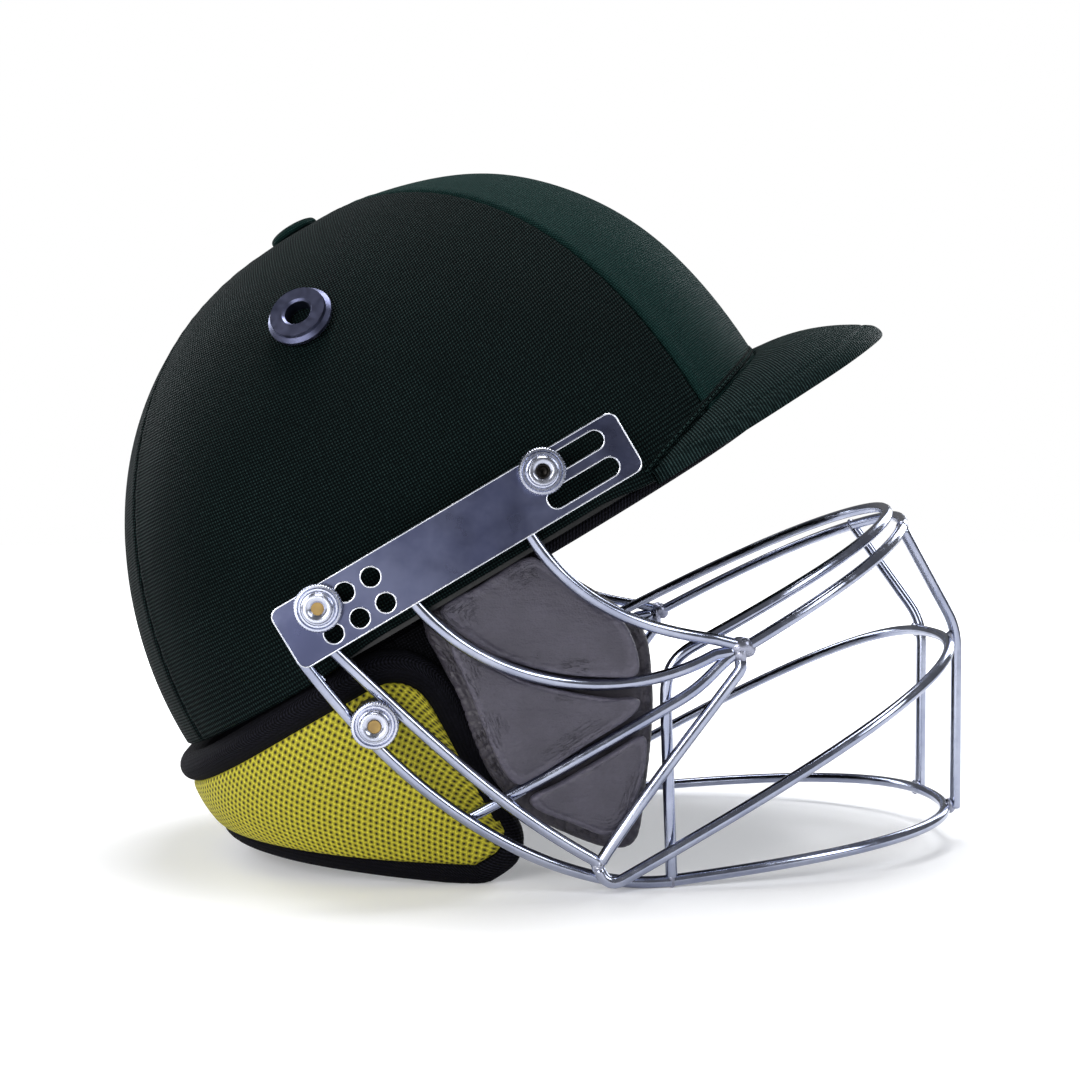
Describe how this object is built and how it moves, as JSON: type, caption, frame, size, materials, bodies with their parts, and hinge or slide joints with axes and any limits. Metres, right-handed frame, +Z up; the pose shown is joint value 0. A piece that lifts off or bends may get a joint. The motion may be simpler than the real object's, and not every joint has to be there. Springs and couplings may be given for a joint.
{
  "type": "batting helmet with wire face guard",
  "caption": "Cloth-covered batting helmet with a peak, a wire face guard on side plates, cheek pads and a padded neck guard, leaning back as it stands.",
  "frame": {"origin": "the middle of the box round the helmet as it stands, on the floor", "axes": "+X the way the peak points, +Y the wearer's left, +Z up"},
  "size_m": [0.3135, 0.2286, 0.2517],
  "materials": {
    "shell_plastic": "moulded rigid shell, dark",
    "cover_cloth": "bottle green ribbed twill",
    "liner_foam": "moulded dark grey foam",
    "comfort_cloth": "brushed black cloth over soft foam",
    "peak_plastic": "stiff board inside the peak",
    "vent_plastic": "satin blue-grey",
    "plate_steel": "brushed, bright cut edges",
    "wire_steel": "polished wire with welded joints",
    "nut_steel": "turned, knurled rim",
    "screw_brass": "plain",
    "spacer_rubber": "black",
    "cheek_vinyl": "purple-grey vinyl with fine wrinkles",
    "cheek_dark": "dark grey vinyl",
    "mesh_cloth": "yellow-green spacer mesh",
    "knit": "black ribbed knit"
  },
  "bodies": {
    "helmet": {"shell": "shell_plastic", "cover_front": "cover_cloth", "cover_back": "cover_cloth", "cover_right": "cover_cloth", "cover_left": "cover_cloth", "foam_liner": "liner_foam", "brow_pad": "comfort_cloth", "nape_pad": "comfort_cloth", "temple_pad_right": "comfort_cloth", "temple_pad_left": "comfort_cloth", "crown_pad": "comfort_cloth", "brow_band": "knit", "peak_board": "peak_plastic", "peak_top": "cover_cloth", "peak_under": "cover_cloth", "crown_button": "cover_cloth", "vent_right": "vent_plastic", "vent_left": "vent_plastic", "plate_right": "plate_steel", "plate_left": "plate_steel", "first_ring": "wire_steel", "second_ring": "wire_steel", "middle_ring": "wire_steel", "chin_ring": "wire_steel", "inner_loop_right": "wire_steel", "inner_loop_left": "wire_steel", "upper_rod_right": "wire_steel", "upper_rod_left": "wire_steel", "pad_rod_right": "wire_steel", "pad_rod_left": "wire_steel", "lower_rod_right": "wire_steel", "lower_rod_left": "wire_steel", "front_bars": "wire_steel", "side_screws": "screw_brass", "side_spacers": "spacer_rubber", "clamp_screws": "screw_brass", "clamp_washers": "spacer_rubber", "cheek_base_right": "cheek_dark", "cheek_base_left": "cheek_dark", "cheek_upper_right": "cheek_vinyl", "cheek_upper_left": "cheek_vinyl", "cheek_middle_right": "cheek_vinyl", "cheek_middle_left": "cheek_vinyl", "cheek_lower_right": "cheek_vinyl", "cheek_lower_left": "cheek_vinyl", "neck_mesh": "mesh_cloth", "neck_backing": "knit", "neck_binding": "knit", "neck_roll": "knit"},
    "front_nut_right": {"front_nut_right": "nut_steel"},
    "front_nut_left": {"front_nut_left": "nut_steel"},
    "rear_nut_right": {"rear_nut_right": "nut_steel"},
    "rear_nut_left": {"rear_nut_left": "nut_steel"},
    "clamp_nut_right": {"clamp_nut_right": "nut_steel"},
    "clamp_nut_left": {"clamp_nut_left": "nut_steel"}
  },
  "joints": [
    {"name": "front_nut_right_turn", "type": "hinge", "parent": "helmet", "child": "front_nut_right", "pos_m": [-0.01123, -0.1081, 0.13888], "axis": [0, -1, 0], "continuous": true},
    {"name": "front_nut_left_turn", "type": "hinge", "parent": "helmet", "child": "front_nut_left", "pos_m": [-0.01123, 0.1081, 0.13888], "axis": [0, 1, 0], "continuous": true},
    {"name": "rear_nut_right_turn", "type": "hinge", "parent": "helmet", "child": "rear_nut_right", "pos_m": [-0.08099, -0.1081, 0.09634], "axis": [0, -1, 0], "continuous": true},
    {"name": "rear_nut_left_turn", "type": "hinge", "parent": "helmet", "child": "rear_nut_left", "pos_m": [-0.08099, 0.1081, 0.09634], "axis": [0, 1, 0], "continuous": true},
    {"name": "clamp_nut_right_turn", "type": "hinge", "parent": "helmet", "child": "clamp_nut_right", "pos_m": [-0.06374, -0.10307, 0.05891], "axis": [0, -1, 0], "continuous": true},
    {"name": "clamp_nut_left_turn", "type": "hinge", "parent": "helmet", "child": "clamp_nut_left", "pos_m": [-0.06374, 0.10307, 0.05891], "axis": [0, 1, 0], "continuous": true}
  ]
}
